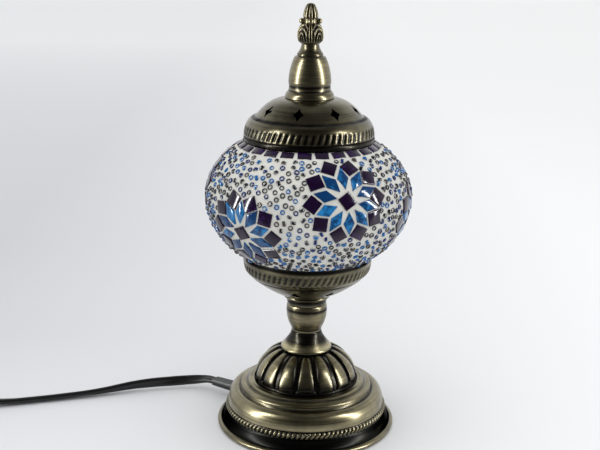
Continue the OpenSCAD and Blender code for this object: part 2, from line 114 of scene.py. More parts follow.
def smooth_curve(points, per_span):
    """A curve through the points (Catmull-Rom), with per_span steps between each two."""
    p = np.array(points, float)
    ends = np.concatenate([[2 * p[0] - p[1]], p, [2 * p[-1] - p[-2]]])
    out = []
    for a, b, c, d in zip(ends, ends[1:], ends[2:], ends[3:]):
        for t in np.arange(per_span) / per_span:
            out.append(0.5 * (2 * b + (c - a) * t + (2 * a - 5 * b + 4 * c - d) * t**2
                              + (3 * b - a - 3 * c + d) * t**3))
    return np.array(out + [p[-1]])


# ---------------------------------------------------------------- meshes
def new_piece(name, verts, faces, body, material, smooth_angle=None):
    """A mesh piece in metres from points in millimetres. faces is an array of quads or a list of polygons."""
    mesh = bpy.data.meshes.new(name)
    if isinstance(faces, np.ndarray):
        mesh.vertices.add(len(verts))
        mesh.vertices.foreach_set("co", (np.asarray(verts) * MM).astype(np.float32).ravel())
        mesh.loops.add(faces.size)
        mesh.loops.foreach_set("vertex_index", faces.astype(np.int32).ravel())
        mesh.polygons.add(len(faces))
        mesh.polygons.foreach_set("loop_start", np.arange(0, faces.size, faces.shape[1], dtype=np.int32))
        mesh.update(calc_edges=True)
    else:
        mesh.from_pydata((np.asarray(verts) * MM).tolist(), [], faces)
    mesh.shade_smooth()
    if smooth_angle is not None:
        mesh.set_sharp_from_angle(angle=math.radians(smooth_angle))
    piece = bpy.data.objects.new(name, mesh)
    bpy.context.scene.collection.objects.link(piece)
    piece.data.materials.append(material)
    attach(piece, body)
    return piece


def grid_quads(rows, cols, close_rows=True):
    """Quads between neighbours of a grid whose columns close on themselves, and its rows too if told."""
    i, j = np.meshgrid(np.arange(rows - (not close_rows)), np.arange(cols), indexing="ij")
    i2, j2 = (i + 1) % rows, (j + 1) % cols
    return np.stack([i * cols + j, i2 * cols + j, i2 * cols + j2, i * cols + j2], -1).reshape(-1, 4)


def outline_normals(line):
    """Unit directions to the left of the way the outline runs, which is outwards."""
    d = np.gradient(line, axis=0)
    d /= np.maximum(np.linalg.norm(d, axis=1), 1e-9)[:, None]
    return np.stack([-d[:, 1], d[:, 0]], 1)


PLAIN_POLISH, INSIDE_POLISH = 0.5, 0.2


def lathe(name, body, outline, material, segments, step, relief=None, polish=None, wall=SHEET):
    """A turned shell.

    relief(az, s, r, z) moves its outer face outwards in millimetres, and polish gives the attribute that
    tells the metal's high spots (1) from its hollows (0) and also carries painted shade in a few places. s is
    the length along the outline.
    """
    line, along = spaced(np.array(outline, float), step)
    out = outline_normals(line)
    az = np.arange(segments) / segments * TAU
    grid = (az[None], along[:, None], line[:, :1], line[:, 1:])
    whole = (len(line), segments)
    lift = np.zeros(whole) if relief is None else np.broadcast_to(relief(*grid), whole)
    shine = np.full(whole, PLAIN_POLISH) if polish is None else np.broadcast_to(polish(*grid), whole)
    r = np.maximum(0, line[:, :1] + out[:, :1] * lift)
    z = line[:, 1:] + out[:, 1:] * lift
    if wall is not None:
        inner = (line - wall * out)[::-3]
        r = np.concatenate([r, np.repeat(np.maximum(inner[:, :1], 0.5), segments, 1)])
        z = np.concatenate([z, np.repeat(inner[:, 1:], segments, 1)])
        shine = np.concatenate([shine, np.full((len(inner), segments), INSIDE_POLISH)])
    verts = np.stack([r * np.sin(az), -r * np.cos(az), z], -1).reshape(-1, 3)
    faces = grid_quads(len(r), segments, close_rows=wall is not None)
    if wall is None:
        keep = np.arange(len(verts))
        for row in (0, len(r) - 1):
            keep[row * segments:(row + 1) * segments] = row * segments
        used, index = np.unique(keep, return_inverse=True)
        verts, shine = verts[used], shine.ravel()[used]
        faces = [list(dict.fromkeys(face)) for face in index[faces].tolist()]
    piece = new_piece(name, verts, faces, body, material, 50)
    add_attribute(piece, "polish", shine.ravel())
    return piece


def add_attribute(piece, name, values):
    """A number for each of a piece's points, which its material reads."""
    made = piece.data.attributes.new(name, "FLOAT", "POINT")
    made.data.foreach_set("value", np.asarray(values, np.float32))


# ---------------------------------------------------------------- materials
def srgb(r, g, b):
    """Linear colour from 0 to 255 display values."""
    return tuple((v / 255 / 12.92 if v <= 10 else ((v / 255 + 0.055) / 1.055) ** 2.4)
                 for v in (r, g, b)) + (1.0,)


class Nodes:
    """A material and short ways to add its nodes."""

    def __init__(self, name, **shader):
        self.material = bpy.data.materials.new(name)
        self.material.use_nodes = True
        self.tree = self.material.node_tree
        self.tree.nodes.clear()
        self.shader = self.add("ShaderNodeBsdfPrincipled", shader)
        out = self.add("ShaderNodeOutputMaterial")
        self.tree.links.new(self.shader.outputs[0], out.inputs[0])

    def add(self, kind, inputs=(), **settings):
        """A node with its inputs, each a value or another node's output, and its settings."""
        made = self.tree.nodes.new(kind)
        for key, value in settings.items():
            setattr(made, key, value)
        for key, value in dict(inputs).items():
            self.put(made, key.replace("_", " ") if isinstance(key, str) else key, value)
        return made

    def put(self, target, key, value):
        if isinstance(value, bpy.types.NodeSocket):
            self.tree.links.new(value, target.inputs[key])
        else:
            target.inputs[key].default_value = value

    def math(self, operation, a, b=0.0, clamp=False):
        return self.add("ShaderNodeMath", {0: a, 1: b}, operation=operation, use_clamp=clamp).outputs[0]

    def coords(self):
        return self.add("ShaderNodeTexCoord").outputs["Object"]

    def noise(self, scale, detail=3.0, roughness=0.55, vector=None, distortion=0.0):
        return self.add("ShaderNodeTexNoise", {
            "Vector": vector or self.coords(), "Scale": scale, "Detail": detail, "Roughness": roughness,
            "Distortion": distortion}).outputs[0]

    def ramp(self, value, *stops):
        made = self.add("ShaderNodeValToRGB", {0: value})
        ends = made.color_ramp.elements
        while len(ends) < len(stops):
            ends.new(0.5)
        for end, (place, colour) in zip(ends, stops):
            end.position = place
            end.color = colour if isinstance(colour, tuple) else (colour, colour, colour, 1)
        return made.outputs[0]

    def mix(self, factor, a, b):
        made = self.add("ShaderNodeMix", data_type="RGBA")
        self.put(made, 0, factor)
        self.put(made, 6, a)
        self.put(made, 7, b)
        return made.outputs[2]

    def remap(self, value, low_in, high_in, low_out, high_out):
        return self.add("ShaderNodeMapRange", {
            0: value, 1: low_in, 2: high_in, 3: low_out, 4: high_out}).outputs[0]

    def bump(self, height, strength, distance):
        made = self.add("ShaderNodeBump", {"Strength": strength, "Distance": distance, "Height": height})
        self.put(self.shader, "Normal", made.outputs[0])

    def set(self, **sockets):
        for key, value in sockets.items():
            self.put(self.shader, key.replace("_", " "), value)


def antique_brass():
    """Oxide in the hollows, ring-brushed bronze on the high spots, under lacquer. The polish attribute also
    brings in painted shade in a few places, which darkens the colour there.
    """
    m = Nodes("antique_brass", Coat_Roughness=0.12)
    polish = m.add("ShaderNodeAttribute", attribute_name="polish").outputs["Fac"]
    place = m.add("ShaderNodeSeparateXYZ", {0: m.coords()})
    around = m.math("ARCTAN2", place.outputs[1], place.outputs[0])
    radius = m.add("ShaderNodeVectorMath", {0: m.add("ShaderNodeCombineXYZ", {
        0: place.outputs[0], 1: place.outputs[1]}).outputs[0]}, operation="LENGTH").outputs["Value"]
    rings = m.add("ShaderNodeCombineXYZ", {
        0: m.math("MULTIPLY", around, 0.9), 1: m.math("MULTIPLY", radius, 900),
        2: m.math("MULTIPLY", place.outputs[2], 900)}).outputs[0]
    brushed = m.noise(1.0, 4, 0.65, rings)
    patches = m.noise(60, 4, 0.6)
    # real wear and oxide from the polish attribute, together with the painted shade it carries, set the
    # colour
    wear_and_shade = m.math("ADD", polish, m.math("MULTIPLY", m.math("SUBTRACT", patches, 0.5), 0.55))
    wear_and_shade = m.math("ADD", wear_and_shade, m.math("MULTIPLY", m.math("SUBTRACT", brushed, 0.5), 0.5), clamp=True)
    colour = m.ramp(wear_and_shade, (0.0, srgb(27, 27, 26)), (0.35, srgb(44, 42, 36)), (0.7, srgb(125, 118, 93)),
                    (1.0, srgb(180, 171, 136)))
    m.set(Base_Color=colour, Metallic=1.0, Coat_Weight=m.remap(wear_and_shade, 0.1, 0.5, 0.0, 0.25),
          Specular_Tint=m.ramp(wear_and_shade, (0.0, srgb(95, 95, 97)), (0.4, srgb(255, 255, 255))),
          Roughness=m.math("ADD", 0.24, m.math("MULTIPLY", brushed, 0.10)))
    m.bump(m.math("ADD", brushed, m.math("MULTIPLY", patches, 0.5)), 0.22, 0.0001)
    return m.material


def plain(name, colour, roughness, metallic=0.0, grain=900, bump=0.1, **shader):
    """A moulded, cast or plated surface: its colour and gloss vary a little, with a fine texture."""
    spread = 0.06
    m = Nodes(name, Metallic=metallic, **shader)
    cloud = m.noise(grain / 12, 4)
    fine = m.noise(grain, 2)
    darker, glossiest = 0.72, 0.02
    dark = tuple(v * darker for v in colour[:3]) + (1.0,)
    m.set(Base_Color=m.mix(cloud, dark, colour),
          Roughness=m.remap(fine, 0.3, 0.7, max(glossiest, roughness - spread), roughness + spread))
    m.bump(fine, bump, 0.00008)
    return m.material


def cut_glass(name, deep, bright, share, spread):
    """Sheet glass on foil: deep over a share of it, with brighter mottled patches; tiles differ by spread."""
    m = Nodes(name, Coat_Weight=0.12, Coat_Roughness=0.03, IOR=1.48)
    cloud = m.noise(330, 5, 0.62, distortion=0.4)
    piece = m.add("ShaderNodeAttribute", attribute_name="shade").outputs["Fac"]
    own = m.math("MULTIPLY", m.math("SUBTRACT", piece, 0.5), spread)
    m.set(Base_Color=m.ramp(m.math("ADD", cloud, own), (0.30, deep), (share, deep), (share + 0.22, bright)),
          Roughness=m.remap(cloud, 0.3, 0.7, 0.07, 0.15))
    m.bump(cloud, 0.25, 0.0002)
    return m.material


METAL = antique_brass()
PVC = plain("lead_sheath", srgb(13, 13, 16), 0.42, grain=1500, bump=0.15)
BLACK = plain("black_plastic", srgb(16, 16, 18), 0.38, grain=1800, bump=0.25)
ROCKER = plain("rocker_plastic", srgb(38, 38, 40), 0.22, grain=1200, bump=0.08)
STEEL = plain("zinc_steel", srgb(168, 168, 172), 0.34, 1.0, grain=600, bump=0.15)
IRON = plain("ballast_iron", srgb(78, 78, 80), 0.6, 0.9, grain=500, bump=0.5)
FELT = plain("felt", srgb(30, 30, 31), 0.95, grain=2500, bump=1.0, Sheen_Weight=0.5)
NYLON = plain("clamp_nylon", srgb(214, 210, 196), 0.45, grain=700)
PORCELAIN = plain("porcelain", srgb(226, 222, 210), 0.4, grain=500, Coat_Weight=0.3)
CONTACT = plain("contact_brass", srgb(206, 168, 96), 0.28, 1.0, grain=700)
NICKEL = plain("nickel", srgb(200, 196, 188), 0.2, 1.0, grain=900)
VITRITE = plain("contact_glass", srgb(22, 22, 26), 0.15, grain=600)
RUBBER = plain("seal_rubber", srgb(20, 20, 20), 0.6, grain=1500, bump=0.3)
FILAMENT = plain("filament", srgb(232, 168, 60), 0.5, grain=900)
GROUT = plain("grout", srgb(226, 225, 217), 0.75, grain=1400, bump=0.6)
PURPLE = cut_glass("purple_glass", srgb(23, 6, 37), srgb(56, 20, 98), 0.58, 0.16)
BLUE = cut_glass("blue_glass", srgb(10, 54, 100), srgb(32, 124, 186), 0.49, 0.34)


def clear_glass(name, tint, roughness):
    """Blown glass: clear, with a gloss that varies a little."""
    m = Nodes(name, Transmission_Weight=0.95, IOR=1.5, Base_Color=tint)
    m.set(Roughness=m.remap(m.noise(400, 3), 0.3, 0.7, roughness, roughness + 0.03))
    return m.material


BULB = clear_glass("bulb_clear_glass", (0.97, 0.98, 1, 1), 0.02)
BLOWN = clear_glass("blown_globe_glass", (0.9, 0.93, 0.92, 1), 0.08)

LOOKS = {
    "antique_brass": METAL, "steel": STEEL, "ballast_iron": IRON, "felt": FELT, "black_plastic": BLACK,
    "lead_sheath": PVC, "rocker_plastic": ROCKER, "clamp_nylon": NYLON, "porcelain": PORCELAIN,
    "contact_brass": CONTACT, "nickel": NICKEL, "contact_glass": VITRITE, "bulb_glass": BULB,
    "filament": FILAMENT, "seal_rubber": RUBBER, "blown_glass": BLOWN, "grout": GROUT,
    "purple_glass": PURPLE, "blue_glass": BLUE,
}
for part in frame["record"]["subparts"]:
    for place in nodes[part["node"]].material_slots:
        place.material = LOOKS[part["material_slot"]]


# ---------------------------------------------------------------- camera
CAMERA_AT = (-0.005, -0.642, 0.3096)
LENS, DOWN, ROLL = 62.7, 15.27, 0.68  # in millimetres and degrees


def camera():
    """The photograph's view: a little over half a metre away, looking down, tilted by less than a degree."""
    made = bpy.data.objects.new("camera", bpy.data.cameras.new("camera"))
    made.data.sensor_width = 36
    made.data.lens = LENS
    made.data.clip_start = 0.01
    pitch = Matrix.Rotation(math.radians(90 - DOWN), 4, "X")
    roll = Matrix.Rotation(math.radians(ROLL), 4, "Z")
    made.matrix_world = Matrix.Translation(CAMERA_AT) @ (pitch @ roll)
    bpy.context.scene.collection.objects.link(made)
    bpy.context.scene.camera = made


camera()

# ---------------------------------------------------------------- leads
LEAD_W, LEAD_T = 6.8, 3.7  # the flat lead's width and thickness

# The same points as part.scad: place, then the turn of the flat lead about its own line
LAMP_ROUTE = [
    (-63.7, 41.4, 8.3, 180), (-68.5, 44.3, 8.1, 172), (-74, 46.3, 7.2, 155), (-81, 47, 6.4, 135),
    (-89, 46.5, 5.9, 118), (-97, 45.4, 5.6, 105), (-105, 43.9, 5.5, 93), (-113, 42, 5.3, 80),
    (-122, 39.6, 4.9, 65), (-131, 36.8, 4.2, 50), (-140, 33.8, 3.5, 38), (-150, 30.6, 3, 29),
    (-162, 27, 2.7, 23), (-175, 23.1, 2.5, 22), (-188, 19.3, 2.5, 22), (-200, 15.9, 2.6, 20),
    (-212, 13, 3.4, 12), (-223, 10.8, 5.2, 4), (-234, 10, 6.5, 0)]
COIL_ROUTE = [
    (-334, 10, 6.5, 0), (-340, 10, 6.3, 10), (-346, 10, 5.9, 30), (-352, 10, 5.3, 55),
    (-359, 10, 4.6, 80)]
PLUG_ROUTE = [
    (-357, -73, 11, 86), (-348, -73, 10.4, 70), (-338, -73, 9.5, 45), (-327, -73, 8.4, 20),
    (-315, -73, 7.4, 0), (-303, -73, 7, 0)]
COIL_C = (-366, -32)
COIL_TURNS = 6.5
LOW_TURNS = 3  # turns of the lower layer, wound inwards; the rest are wound outwards on top of it
RISE_TURNS = 1 / 3
TURN_STEPS = 24
STEP_PACE = 12  # the lead steps inwards between the layers over 1/12 of a turn
LOW_R, LOW_PITCH, LOW_Z = 42, 4, 4.2  # the lower layer's first radius, its step inwards a turn, its height
TOP_R, TOP_WIDTH, TOP_RISE = 28.5, 12.5, 7  # the upper layer's first radius, its width, its rise on the lower


def coil_turns():
    """Places on the coil, with the lead standing on its edge."""
    out = []
    for step in range(int(COIL_TURNS * TURN_STEPS) + 1):
        t = step / TURN_STEPS
        climb = min(1, max(0, (t - LOW_TURNS) / RISE_TURNS))
        climb = climb * climb * (3 - 2 * climb)
        if t <= LOW_TURNS:
            r = LOW_R - LOW_PITCH * t
        else:
            r = TOP_R + max(0, t - LOW_TURNS - RISE_TURNS) * TOP_WIDTH / (COIL_TURNS - LOW_TURNS - RISE_TURNS)
            step_in = LOW_R - LOW_PITCH * LOW_TURNS - TOP_R
            r += step_in * max(0, 1 - (t - LOW_TURNS) * STEP_PACE)
        turn = math.radians(90) + t * TAU
        z = LOW_Z + TOP_RISE * climb
        out.append((COIL_C[0] + r * math.cos(turn), COIL_C[1] + r * math.sin(turn), z, 90))
    return out


def twin_section():
    """The outline of a flat twin lead: two round lobes with a shallow groove between them."""
    lobe = LEAD_T / 2
    shift = LEAD_W / 2 - lobe
    groove_at = 118
    turn = np.radians(np.linspace(-groove_at, groove_at, 9))
    right = np.stack([shift + lobe * np.cos(turn), lobe * np.sin(turn)], 1)
    return np.concatenate([right, -right])


def lead(name, route, per_span):
    """A flat lead swept along a route, with its exact centreline."""
    line = smooth_curve(route, per_span)
    place, twist = line[:, :3], np.radians(line[:, 3])
    way = np.gradient(place, axis=0)
    way /= np.linalg.norm(way, axis=1)[:, None]
    side = np.cross([0, 0, 1], way)
    side /= np.linalg.norm(side, axis=1)[:, None]
    up = np.cross(way, side)
    section = twin_section()
    a, b = section[:, 0], section[:, 1]
    c, s = np.cos(twist)[:, None], np.sin(twist)[:, None]
    verts = (place[:, None] + (a * c - b * s)[..., None] * side[:, None]
             + (a * s + b * c)[..., None] * up[:, None])
    count = len(section)
    faces = grid_quads(len(line), count, close_rows=False)[:, ::-1].tolist()
    last = (len(line) - 1) * count
    faces += [list(range(count)), list(range(last + count - 1, last - 1, -1))]
    piece = new_piece(name, verts.reshape(-1, 3), faces, "stand", PVC, 60)
    return piece, place * MM


lamp_cord, lamp_line = lead("lamp_cord", LAMP_ROUTE, 6)
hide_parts("lamp_lead")
plug_cord, plug_line = lead("plug_cord", COIL_ROUTE + coil_turns() + PLUG_ROUTE, 2)
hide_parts("coil_lead", "lead_coil", "plug_lead")


# ---------------------------------------------------------------- spun metal
def ease(x, first, last):
    """0 before first and 1 after last, rising smoothly between them."""
    t = np.clip((x - first) / (last - first), 0, 1)
    return t * t * (3 - 2 * t)


def hollow(x, middle, width):
    """A dip that is 1 at its middle and fades either side."""
    return np.exp(-((x - middle) / width) ** 2)


def metal(name, body, node, outline, **more):
    """A turned metal piece that stands for a CAD node."""
    piece = lathe(name, body, outline, METAL, **more)
    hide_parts(node)
    return piece


def base_shell():
    """Rolled rim, black flare, rope bead, brushed skirt, shoulder bead and deck."""
    skirt = RIM_R - 7.1
    rope_c, rope_r, strands, slant = (skirt - 0.7, 12.6), 2.0, 108, 2.1
    outline = joined(
        [(HOLE_R, DECK_Z), (34.2, DECK_Z)], arc((36.6, DECK_Z - 1), 1.1, 130, 20),
        arc((41.2, DECK_Z - 3.9), 1.7, 115, -15),
        bez((43.6, 24.8), (48.6, 26.4), (skirt, 21), (skirt, 15.6), 16),
        arc(rope_c, rope_r, 60, -50, 16),
        bez((52.8, 9.6), (53.6, 6), (55, 4.2), (56.2, 3.7)),
        arc((RIM_R - 1.7, 2), 1.7, 75, -70, 12), [(RIM_R - 5.5, 0.4)])

    def strand(az, z):
        """How far a height is on the rope, and the wave across its strands."""
        turn = (z - rope_c[1]) / rope_r
        share = ease(turn, -1.0, -0.72) * (1 - ease(turn, 0.62, 0.9))
        return share, np.abs(np.sin(0.5 * (az * strands - slant * turn)))

    def relief(az, s, r, z):
        share, wave = strand(az, z)
        outer = r > skirt - 2.5
        return np.where(outer, share * (0.75 * wave**0.7 - 0.35), 0.0)

    def polish(az, s, r, z):
        share, wave = strand(az, z)
        flat = np.where(z > 15, 0.74, 0.0) + np.where(z < 3.9, 0.62, 0.0)
        flat = np.where((z < 11.2) & (z >= 3.9), 0.0, flat)
        dips = hollow(r, 38.6, 0.9) * (z > 26) + hollow(r, 43.5, 0.8) * (z > 22)
        return np.where((share > 0.05) & (r > skirt - 2.5), 0.85 * wave**1.2, flat - 0.36 * dips)

    metal("spun_base", "stand", "base_shell", outline, segments=strands * 12, step=0.55, relief=relief,
          polish=polish)


def fluted_dome():
    """Fifteen convex lobes, pressed apart by narrow grooves that end round above the deck."""
    lobes = 15
    bulge, rise = 23.8, 22  # the dome's arc has this radius, squashed to this height
    squash = rise / bulge
    outline = joined(
        [(HOLE_R, DOME_TOP), (13, DOME_TOP)],
        arc((9, DECK_Z), bulge, 72, 4, 30) * (1, squash) + (0, DECK_Z * (1 - squash)),
        [(33.4, DECK_Z + 0.75), (34, DECK_Z + 0.75)])

    def groove(az, r, z):
        """The distance to the nearest groove, the same as a share of a lobe, and the grooves' depth there."""
        pitch = TAU / lobes
        off = np.abs((az / pitch) % 1 - 0.5) * pitch
        span = ease(z, DECK_Z + 1.4, DECK_Z + 4.2) * ease(r, 15.5, 19)
        return off * r, off / (pitch / 2), span

    def relief(az, s, r, z):
        gap, share, span = groove(az, r, z)
        crown = 1 - (1 - share) ** 2.6
        return span * (1.2 * crown - 1.3 * hollow(gap, 0, 1.3) - 0.45)

    def polish(az, s, r, z):
        gap, share, span = groove(az, r, z)
        # Painted shade and reflection, with some oxide where the lobes meet the deck: the lobes darken
        # towards their foot. Towards the top they darken too.
        foot, top = 1 - ease(z, DECK_Z + 1.5, DECK_Z + 8), 1 - ease(r, 16, 20)
        return 0.72 - 0.62 * span * (1 - ease(gap, 1.2, 2.9)) - 0.6 * foot - 0.5 * top

    metal("fluted_dome_skin", "stand", "fluted_dome", outline, segments=lobes * 60, step=0.6, relief=relief,
          polish=polish)


def stem():
    """Trumpet, vase and collar, all turned and brushed round."""
    waist = 9.8
    turned = {"segments": 240, "step": 0.4}
    metal("trumpet_skin", "stand", "trumpet_collar", joined(
        [(HOLE_R, TRUMPET_TOP), (waist - 0.6, TRUMPET_TOP)],
        bez((waist, TRUMPET_TOP - 0.6), (waist + 0.3, 60.4), (13.6, 56.5), (16.5, 53.3), 20),
        [(16.6, DOME_TOP + 0.1)]), **turned,
        polish=lambda az, s, r, z: 0.30 + 0.62 * ease(r, 12.5, 15.2) - 0.3 * ease(r, 16.2, 16.6))
    metal("stem_skin", "stand", "stem_vase", joined(
        [(HOLE_R, STEM_TOP), (12.2, STEM_TOP)],
        bez((12.8, STEM_TOP - 0.7), (13.7, 77), (12.8, 71.5), (10.6, 67.4), 20),
        [(waist, 65.6), (waist - 0.1, TRUMPET_TOP)]), **turned,
        polish=lambda az, s, r, z: 0.66 - 0.45 * hollow(z, 79.2, 1.3) - 0.35 * hollow(z, 66, 0.8))
    metal("gallery_collar_skin", "stand", "gallery_collar", joined(
        [(HOLE_R, COLLAR_TOP), (14.9, COLLAR_TOP), (15.2, COLLAR_TOP - 0.5)],
        bez((15.1, COLLAR_TOP - 1), (13.5, 86.6), (12.8, 85.2), (12.7, 83.8)), [(12.4, STEM_TOP)]),
        **turned, wall=0.3,
        polish=lambda az, s, r, z: 0.20 + 0.35 * ease(r, 13.6, 14.8) + 0.2 * ease(-z, -85, -83.6))


def star_cutter(places, w, h, deep):
    """Four-pointed star prisms with hollow sides, at each (azimuth, radius, height, tilt)."""
    made = bmesh.new()
    tuck = 0.2
    corners = [(0, h / 2), (w * tuck, h * tuck), (w / 2, 0), (w * tuck, -h * tuck),
               (0, -h / 2), (-w * tuck, -h * tuck), (-w / 2, 0), (-w * tuck, h * tuck)]
    for az, r, z, tilt in places:
        out = Vector((math.sin(az), -math.cos(az), 0))
        sideways = Vector((math.cos(az), math.sin(az), 0))
        way = math.sin(tilt) * out + math.cos(tilt) * Vector((0, 0, 1))
        along = way.cross(sideways)
        centre = r * out + Vector((0, 0, z))
        rings = [[made.verts.new((centre + side * deep * way + x * sideways + y * along) * MM)
                  for x, y in corners] for side in (-0.5, 0.5)]
        for i in range(len(corners)):
            j = (i + 1) % len(corners)
            made.faces.new([rings[0][i], rings[0][j], rings[1][j], rings[1][i]])
        made.faces.new(rings[0][::-1])
        made.faces.new(rings[1])
    bmesh.ops.recalc_face_normals(made, faces=made.faces)
    mesh = bpy.data.meshes.new("cutter")
    made.to_mesh(mesh)
    made.free()
    cutter = bpy.data.objects.new("cutter", mesh)
    bpy.context.scene.collection.objects.link(cutter)
    return cutter


def apply_modifiers(piece):
    """Gives the piece the mesh that its modifiers make, and clears them."""
    bpy.context.view_layer.update()
    ready = piece.evaluated_get(bpy.context.evaluated_depsgraph_get())
    mesh = bpy.data.meshes.new_from_object(ready)
    piece.modifiers.clear()
    piece.data = mesh


def cut(piece, cutter):
    """Takes the cutter out of the piece."""
    by = piece.modifiers.new("vents", "BOOLEAN")
    by.object = cutter
    by.operation = "DIFFERENCE"
    by.solver = "EXACT"
    apply_modifiers(piece)
    bpy.data.objects.remove(cutter)


def vents(first, r, z, tilt):
    """Eight places round the axis for star_cutter, from the first azimuth on, angles in degrees."""
    return [(math.radians(first + 45 * i), r, z, math.radians(tilt)) for i in range(8)]


def gadroons(az, z, count, top, bottom, lean):
    """Slanted ridges with round tops between two heights: how far in the band, and the wave across them."""
    share = (z - bottom) / (top - bottom)
    inside = ease(share, 0.0, 0.22) * (1 - ease(share, 0.72, 1.0))
    wave = np.cos(az * count - lean * (share - 0.5))
    return inside, wave


def gallery():
    """The pierced bowl under the globe, with leaning gadroons round its rim."""
    outline = joined(
        [(GALLERY_R, GALLERY_TOP), (GALLERY_R - 0.1, 113.6), (40.9, 110.6)],
        bez((40.5, 108.4), (40.2, 106.4), (39, 104.5), (36.6, 103.1))[1:], [(36.2, 102.2)],
        bez((35.6, 101.8), (29.4, 96.6), (23.4, 92.8), (16.8, 89.8)),
        [(14.6, COLLAR_TOP), (HOLE_R, COLLAR_TOP)])

    band = (66, 112.8, 105.2, 4.4)
    band_r = 37

    def relief(az, s, r, z):
        inside, wave = gadroons(az, z, *band)
        return inside * (0.27 * wave - 0.16) * (r > band_r)

    def polish(az, s, r, z):
        inside, wave = gadroons(az, z, *band)
        # Painted shade: the rim's top is darkened, standing in for the shadow in the gap under the globe.
        bare = 0.58 - 0.45 * ease(z, 113.6, 114.6) - 0.4 * hollow(z, 102.0, 0.5)
        return np.where(r > band_r, bare * (1 - inside) + inside * (0.45 + 0.12 * wave), bare)

    piece = metal("gallery_skin", "stand", "gallery", outline, segments=band[0] * 14, step=0.6, relief=relief,
                  polish=polish)
    cut(piece, star_cutter(vents(-15, 28, 95.9, 146), 7, 8.4, 7))


def cap():
    """The pierced dome that closes the globe, with leaning gadroons over its lip."""
    outline = joined(
        [(STUD_HOLE_R, CAP_TOP), (13, CAP_TOP)],
        bez((14.4, CAP_TOP - 0.1), (25.4, 215.6), (30.2, 208), (33.8, 204.4), 24),
        bez((35.4, 203.9), (38.4, 202.8), (40.2, 198.6), (40.7, 193.2), 16), [(40.3, 192.6)],
        bez((40.8, 192), (41, 191), (40.8, 190.2), (40.5, LIP_Z), 6))

    band = (64, 200.2, 193.0, 3.4)

    def relief(az, s, r, z):
        inside, wave = gadroons(az, z, *band)
        return inside * (0.20 * wave - 0.10)

    def polish(az, s, r, z):
        inside, wave = gadroons(az, z, *band)
        bare = 0.56 - 0.35 * hollow(z, 204.1, 0.6) - 0.45 * hollow(z, 192.7, 0.5) - 0.28 * (z < 192.4)
        return bare * (1 - inside) + inside * (0.40 + 0.22 * wave)

    piece = metal("cap_skin", "cap", "top_cap", outline, segments=band[0] * 14, step=0.6, relief=relief,
                  polish=polish)
    cut(piece, star_cutter(vents(-58.5, 29, 209.4, 48), 6.6, 9.4, 6))


def neck():
    """The bell between the cap and the finial."""
    top = 241.4
    metal("neck_skin", "cap", "neck_ferrule", joined(
        [(STUD_HOLE_R, top), (9, top)], bez((9.6, 240.9), (11.6, 237), (13.2, 231), (13.2, 225.4), 20),
        [(12.8, 223.4), (12.9, 221.8)],
        bez((13.3, 220.2), (14.2, 219.6), (15.2, 218.4), (15.3, CAP_TOP + 0.1))),
        segments=240, step=0.4,
        polish=lambda az, s, r, z: 0.68 - 0.4 * hollow(z, 223.2, 0.8) - 0.3 * hollow(z, 220.6, 0.5))


